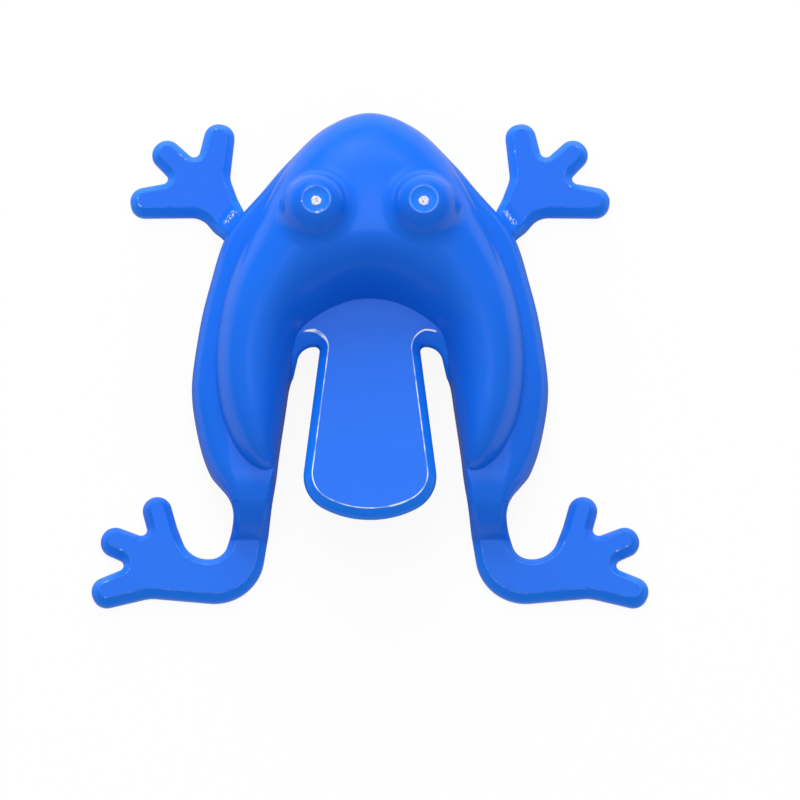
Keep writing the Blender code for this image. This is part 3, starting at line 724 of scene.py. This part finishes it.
def rounded_outline(corners):
    """Outline with each corner (x, y, radius, edge width) turned as an arc; the ends stay as they are."""
    places = [Vector(corner[:2]) for corner in corners]
    turns = [0]
    for before, here, after in zip(places, places[1:], places[2:]):
        turns.append(math.pi - (before - here).angle(after - here))
    turns.append(0)
    reaches = [corner[2] * math.tan(turn / 2) for corner, turn in zip(corners, turns)]
    outline = [(*places[0], corners[0][3])]
    for i in range(1, len(corners) - 1):
        back = places[i - 1] - places[i]
        ahead = places[i + 1] - places[i]
        room = (back.length / (reaches[i - 1] + reaches[i]), ahead.length / (reaches[i] + reaches[i + 1]))
        fit = min(1, *room)
        radius = corners[i][2] * fit
        middle = (back.normalized() + ahead.normalized()).normalized()
        centre = places[i] + middle * (radius / math.cos(turns[i] / 2))
        start = places[i] + back.normalized() * reaches[i] * fit - centre
        side = math.copysign(1, back.normalized().cross(ahead.normalized()))
        count = max(3, math.ceil(turns[i] / (2 * math.acos(1 - min(curve_sag / radius, 0.5)))))
        for step in range(count + 1):
            angle = -side * turns[i] * step / count
            x = centre.x + start.x * math.cos(angle) - start.y * math.sin(angle)
            y = centre.y + start.x * math.sin(angle) + start.y * math.cos(angle)
            if math.dist((x, y), outline[-1][:2]) > 0.00005:
                outline.append((x, y, corners[i][3]))
    outline.append((*places[-1], corners[-1][3]))
    return outline


def tab_top(x, y):
    """Height of the tab's upper face, which climbs six degrees to the rear."""
    return skirt_z + plate_step + (tab_root_y - y) * math.tan(tab_rise)


def tab_underside(x, y):
    """Height of its lower face."""
    return tab_top(x, y) - tab_thickness


def plate_top(x, y):
    """Height of the root plate, whose corners beside the slots sink into the lobes."""
    return tab_top(x, y) - plate_corner_sink * eased((flex_y - y) / plate_corner_slope)


def plate_underside(x, y):
    """Height of the plate's lower face."""
    return plate_top(x, y) - tab_thickness


def tab_side(y):
    """Half width of the tab."""
    return tab_neck + (flex_y - y) * tab_flare


def slot_width(x, y):
    """Width of the chamfer round the end of the slot, which grows from its inner side to its top."""
    share = math.atan2(y - slot_y + slot_radius, tab_side(slot_y) + slot_radius - x) / (math.pi / 2)
    return tab_edge + (slot_edge - tab_edge) * min(max(share, 0), 1) ** 2


right = rounded_outline(
    [
        (tab_side(flex_y), flex_y, 0, tab_edge),
        (tab_side(slot_y), slot_y, slot_radius, None),
        (0.00684, slot_y, 0.0018, slot_edge),
        (0.00785, hip_y + 0.01235, 0.0015, tab_edge),
        (lobe_cover_x, hip_y + 0.0118, 0, 0),
    ]
)
right = [(x, y, slot_width(x, y) if width is None else width) for x, y, width in right]
right.append((lobe_cover_x, hip_y + 0.0172, 0))
for knot in knots_between(4, 0.25, 4):
    x, y = foot(knot)
    right.append((x, y + plate_seat, 0))
outline = right + [(-x, y, width) for x, y, width in reversed(right)]
root_plate = drawn_up("root_plate", outline, (len(outline) - 1,), chamfer, plate_underside, plate_top)
smoothed(root_plate, 32)
# painted light: a lighter glow in the chamfers and a pale glint line, a painted highlight that widens round
# the slots' tops and stops beyond them
root_plate.data.materials.append(
    blue_plastic(
        "root_plate_plastic",
        thin=0.2,
        glint=1,
        changes=[
            ("Width", (-1, 0, 0), 0.0042, 0.0048, 0.06, 0.22),
            ("Width", (-1, 0, 0), 0.0051, 0.0065, 1, 0.25),
            ("Rub", (-1, 0, 0), 0.0063, 0.0067, 1, 0),
            ("Rub", (1, 0, 0), 0.0065, 0.0067, 1, 0),
        ],
    )
)
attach(root_plate, "shell")

corners = [
    (tab_side(flex_y), flex_y, 0, tab_edge),
    (0.0069, hip_y - 0.00023, 0.0039, tab_edge),
    (0.0024, hip_y - 0.00264, 0.0092, tab_edge),
]
outline = rounded_outline(corners + [(-corner[0], *corner[1:]) for corner in reversed(corners)])
tab = drawn_up("tab", outline, (len(outline) - 1,), chamfer, tab_underside, tab_top)
cut_across(tab, [(0, flex_y - 0.0003 * i, 0) for i in range(1, 10)], (0, 1, 0))
smoothed(tab, 32)
# painted light: a lighter glow in the chamfers and a pale glint line round the flat, a painted highlight,
# wider at the rear end
tab.data.materials.append(
    blue_plastic(
        "tab_plastic", thin=0.8, glint=1, changes=[("Width", (0.35, -0.94, 0), 0.0166, 0.0176, 0.06, 0.27)]
    )
)
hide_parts("thumb_tab")
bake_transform(tab, "shell", "tab", start=(0, flex_y, 0.0048), end=(0, flex_y - 0.0024, 0.0048))


# Hind legs
# Each is moulded on at the hip: a short strap that drops steeply to the table and turns outwards into
# a flat foot with three toes. The top edge is chamfered, and the webs between the toes are tight.
limb_thickness = 0.00145
limb_edge = 0.0008
toe_half_width = 0.00145
toe_root_half_width = 0.00158
web_radius = 0.0006
ankle_y = hip_y - 0.0031
underside_lead = 0.0007  # how far before the ankle the underside has come down
hip_underside = 0.0033
hip_outer_edge = 0.00085
hip_inner_edge = 0.0007
strap_knots = 4  # of the skirt's two curves, past the hip
foot_x = 0.0165  # beyond it the foot lies flat
limb_edge_round = (
    (0.08, 0), (0.02, 0.02), (0, 0.07), (0, 0.34), (0.03, 0.44), (0.1, 0.53), (0.85, 0.935), (0.93, 0.972),
    (1, 0.992), (1.06, 1), (1.12, 1),
)


def toed(palm, toes):
    """Corners round the toes (angle, reach): two at each tip, and one in each web."""
    corners = []
    for number, (angle, reach) in enumerate(toes):
        along = Vector((math.cos(angle), math.sin(angle)))
        left = Vector((-along.y, along.x)) * toe_half_width
        tip = palm + along * (reach + toe_half_width)
        for place in (tip + left, tip - left):
            corners.append((*place, toe_half_width, limb_edge))
        if number + 1 < len(toes):
            half = (angle - toes[number + 1][0]) / 2
            middle = Vector((math.cos(angle - half), math.sin(angle - half)))
            corners.append((*(palm + middle * (toe_root_half_width / math.sin(half))), web_radius, limb_edge))
    return corners


def leg_drop(y, end_y):
    """How far the leg has come down at a place, from 0 at the hip to 1 at the ankle."""
    share = min(max((hip_y - y) / (hip_y - end_y), 0), 1)
    return 0.39 * share + 0.61 * share**1.8


def soft_edge(inwards):
    """Height of the skirt's rounded edge, a share of its width in."""
    for (before, low), (after, high) in zip(skirt_profile[3:], skirt_profile[4:]):
        if inwards <= after:
            return low + (high - low) * max(inwards - before, 0) / (after - before)
    return 1


foot_palm = from_hip((19.5, -5.6))
foot_toes = ((math.radians(73.4), 0.00595), (math.radians(22.7), 0.0064), (math.radians(-21.6), 0.0073))
foot_notch = (((14.6, -4.92), 0.00185), ((18, -4.92), 0.0026), ((19.25, -1.6), 0.003))
foot_sole = (((21.9, -8.9), 0.0037), ((11.3, -9.85), 0.005))
rows = knots_between(0, strap_knots, 6)
outer_rows = [
    (*skirt_edge(hip_knot + row), hip_outer_edge + (limb_edge - hip_outer_edge) * row / strap_knots)
    for row in rows
]
inner_rows = [
    (*inner_edge(inner_hip_knot + row), hip_inner_edge + (limb_edge - hip_inner_edge) * row / strap_knots)
    for row in reversed(rows)
]
around = rounded_outline(
    [(*outer_rows[-1][:2], 0, limb_edge)]
    + [(*from_hip(corner), radius, limb_edge) for corner, radius in foot_notch]
    + toed(foot_palm, foot_toes)
    + [(*from_hip(corner), radius, limb_edge) for corner, radius in foot_sole]
    + [(*inner_rows[0][:2], 0, limb_edge)]
)
outline = outer_rows + around[1:-1] + inner_rows

for side, side_name in ((1, "right"), (-1, "left")):
    leg = drawn_up(
        side_name + "_hind_leg",
        outline,
        (len(outline) - 1,),
        limb_edge_round,
        lambda x, y: 0,
        lambda x, y: limb_thickness,
    )
    cut_across(leg, [(0, hip_y - 0.000173 * i, 0) for i in range(1, 21)], (0, 1, 0))
    for vertex, edge in zip(leg.data.vertices, leg.data.attributes["edge"].data):
        x, y, z = vertex.co
        if x < foot_x:
            if z > limb_thickness * 0.3:
                soft = 1 - eased((hip_y - y) / (hip_y - ankle_y) * 2 - 1)
                z += (soft_edge(edge.value) * limb_thickness - z) * soft
            under = hip_underside * (1 - leg_drop(y, ankle_y + underside_lead))
            top = skirt_top(hip_y) + (limb_thickness - skirt_top(hip_y)) * leg_drop(y, ankle_y)
            vertex.co.z = under + z / limb_thickness * (top - under)
        vertex.co.x *= side
    if side < 0:
        turned_outwards()
    smoothed(leg, 32)
    below_ankle = ((0, -1, 0), -ankle_y, 0.0006 - ankle_y, 0)
    # painted light below the ankle: a lighter glow in the edges, a faint glint line and sparkles as painted
    # highlights
    leg.data.materials.append(
        blue_plastic(
            side_name + "_leg_plastic",
            changes=[("Thin", *below_ankle, 0.6), ("Rub", *below_ankle, 0.09), ("Specks", *below_ankle, 0.5)],
        )
    )
    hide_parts(side_name + "_leg")
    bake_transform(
        leg,
        "shell",
        "leg_" + side_name,
        start=(side * 0.0138, hip_y, 0),
        end=(side * 0.0142, hip_y - 0.0012, 0),
    )


# Arms
# Flat hands with three toes each. The wrist narrows and steps up to the skirt's wall, which it is
# moulded on; its root is sunk a little into the wall here.
shoulder = Vector((0.01372, 0.014133))
out_way = Vector((0.81132, 0.5846))
root_way = Vector((0.5846, -0.81132))
hand_palm = from_hip((16.45, 33.5))
hand_toes = ((math.radians(101.9), 0.00588), (math.radians(44.8), 0.00566), (math.radians(-9.2), 0.0063))
wrist_half_width = 0.00178
root_sunk = 0.0009  # how far the root lies in the skirt's wall
front_root = shoulder - root_way * wrist_half_width
rear_root = shoulder + root_way * wrist_half_width
front_corner = from_hip((14.1, 34.9))
rear_corner = from_hip((16.9, 30.9))
outline = rounded_outline(
    [(*(front_root - (front_corner - front_root).normalized() * root_sunk), 0, limb_edge)]
    + [(*front_corner, 0.0025, limb_edge)]
    + toed(hand_palm, hand_toes)
    + [(*rear_corner, 0.0022, limb_edge)]
    + [(*(rear_root - (rear_corner - rear_root).normalized() * root_sunk), 0, limb_edge)]
)
wrist_soft_end = 0.0028  # out from the shoulder, where the rounded edge has turned into a chamfer
wrist_soft_length = 0.0018
wrist_step_end = 0.0018  # where the arm has come down to the table
wrist_step_length = 0.0021

for side, side_name in ((1, "right"), (-1, "left")):
    arm = drawn_up(
        side_name + "_forearm",
        outline,
        (len(outline) - 1,),
        limb_edge_round,
        lambda x, y: 0,
        lambda x, y: limb_thickness,
    )
    for i in range(-2, 11):
        place = shoulder + out_way * 0.0002 * i
        cut_across(arm, [(*place, 0)], (*out_way, 0))
    for vertex, edge in zip(arm.data.vertices, arm.data.attributes["edge"].data):
        away = (vertex.co.xy - shoulder).dot(out_way)
        if vertex.co.z > limb_thickness * 0.3:
            soft = eased((wrist_soft_end - away) / wrist_soft_length)
            vertex.co.z += (soft_edge(edge.value) * limb_thickness - vertex.co.z) * soft
        vertex.co.z += rim_z * eased((wrist_step_end - away) / wrist_step_length)
        vertex.co.x *= side
    if side < 0:
        turned_outwards()
    smoothed(arm, 32)
    outwards = (side * out_way.x, out_way.y, 0)
    downwards = (side * root_way.x, root_way.y, 0)
    bend = shoulder.dot(out_way) + 0.0006
    middle = shoulder.dot(root_way)
    # painted light: the hand is painted lighter towards its tips, with a faint glint line, sparkles and glint
    # streaks along the wrist's bend as painted highlights
    arm.data.materials.append(
        blue_plastic(
            side_name + "_arm_plastic",
            changes=[
                ("Thin", outwards, bend, bend + 0.0014, 0.3, 0.8),
                ("Rub", outwards, bend + 0.0002, bend + 0.0014, 0, 0.06),
                ("Specks", outwards, bend + 0.0002, bend + 0.0014, 0, 0.5),
                ("Crease", outwards, bend - 0.0003, bend, 0, 0.7),
                ("Crease", outwards, bend + 0.0001, bend + 0.0005, 1, 0),
                ("Crease", downwards, middle - 0.0014, middle - 0.0011, 0, 1),
                ("Crease", downwards, middle + 0.0003, middle + 0.0007, 1, 0),
            ],
        )
    )
    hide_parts(side_name + "_arm")
    start = shoulder - out_way * 0.0004
    end = shoulder + out_way * 0.0012
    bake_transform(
        arm,
        "shell",
        "arm_" + side_name,
        start=(side * start.x, start.y, 0),
        end=(side * end.x, end.y, 0),
    )


# Table, lamps and camera
# A white table top seen from above and a little behind the frog, with a broad lamp overhead, one in front
# and two small low windows of light before the frog's nose.
bpy.ops.object.select_all(action="DESELECT")
bpy.ops.mesh.primitive_grid_add(x_subdivisions=2, y_subdivisions=2, size=4, location=(0, 0, -0.00002))
table = bpy.context.object
table.name = "table_top"
bpy.ops.object.transform_apply(location=True, rotation=True, scale=True)
table_white = bpy.data.materials.new("table_white")
table_white.use_nodes = True
tree = table_white.node_tree
shader = tree.nodes["Principled BSDF"]
shader.inputs["Base Color"].default_value = (0.9, 0.9, 0.9, 1)
shader.inputs["Roughness"].default_value = 0.9
shader.inputs["Specular IOR Level"].default_value = 0
rays = tree.nodes.new("ShaderNodeLightPath").outputs
seen = worked(tree, "MAXIMUM", rays["Is Camera Ray"], rays["Is Transmission Ray"])
either = worked(tree, "MAXIMUM", seen, rays["Is Glossy Ray"])
away = tree.nodes.new("ShaderNodeVectorMath")
away.operation = "LENGTH"
tree.links.new(tree.nodes.new("ShaderNodeTexCoord").outputs["Object"], away.inputs[0])
# close to the toy the table is mirrored darker than farther out: a painted shadow of the toy in the table's
# reflection
near = ranged(tree, away.outputs["Value"], 0.019, 0.028, -0.88, -0.3)
glow = tree.nodes.new("ShaderNodeEmission")
fed(tree, glow.inputs["Strength"], worked(tree, "MULTIPLY_ADD", rays["Is Glossy Ray"], near, 1))
mix = tree.nodes.new("ShaderNodeMixShader")
fed(tree, mix.inputs["Fac"], worked(tree, "MULTIPLY", either, 0.92))
fed(tree, mix.inputs[1], shader.outputs["BSDF"])
fed(tree, mix.inputs[2], glow.outputs["Emission"])
fed(tree, tree.nodes["Material Output"].inputs["Surface"], mix.outputs["Shader"])
table.data.materials.append(table_white)

room = bpy.data.worlds.new("white_room")
bpy.context.scene.world = room
room.use_nodes = True
tree = room.node_tree
towards = way_along(tree, tree.nodes.new("ShaderNodeTexCoord").outputs["Generated"], (0, 0.34, 0.94))
ceiling = ranged(tree, towards, 0.88, 0.985, 0.05, 1, shape="SMOOTHSTEP")
sky = ranged(tree, towards, -0.7, 1, 0.1, 0.87)
rays = tree.nodes.new("ShaderNodeLightPath").outputs
plain = worked(tree, "MAXIMUM", rays["Is Camera Ray"], rays["Is Transmission Ray"])
soft = mixed(tree, rays["Is Glossy Ray"], sky, ceiling)
background = tree.nodes["Background"]
fed(tree, background.inputs["Color"], mixed(tree, plain, soft, (1, 1, 1, 1)))
background.inputs["Strength"].default_value = 1


def lamp(name, place, size, power, mirrored):
    """Square soft lamp that faces the frog, mirrored in its gloss or not."""
    data = bpy.data.lights.new(name, "AREA")
    data.size = size
    data.energy = power
    made = bpy.data.objects.new(name, data)
    made.location = place
    made.rotation_euler = (Vector((0, 0, 0.008)) - Vector(place)).to_track_quat("-Z", "Y").to_euler()
    made.visible_glossy = mirrored
    bpy.context.scene.collection.objects.link(made)


lamp("overhead_lamp", (-0.08, 0.3, 0.95), 0.5, 2.2, False)
lamp("front_lamp", (-0.12, 0.75, 0.36), 0.45, 3.9, False)
lamp("window_left", (-0.09, 0.55, 0.27), 0.10, 0.04, True)
lamp("window_right", (0.12, 0.55, 0.30), 0.10, 0.04, True)

view = bpy.data.cameras.new("camera")
view.lens = 540
view.sensor_width = 36
view.clip_start = 0.1
view.shift_x = 0.0375
view.shift_y = -0.04875
camera = bpy.data.objects.new("camera", view)
camera.rotation_euler = (math.radians(17), 0, 0)
camera.location = (0, -0.35133, 1.15057)
bpy.context.scene.collection.objects.link(camera)
bpy.context.scene.camera = camera
bpy.context.scene.view_settings.view_transform = "Standard"
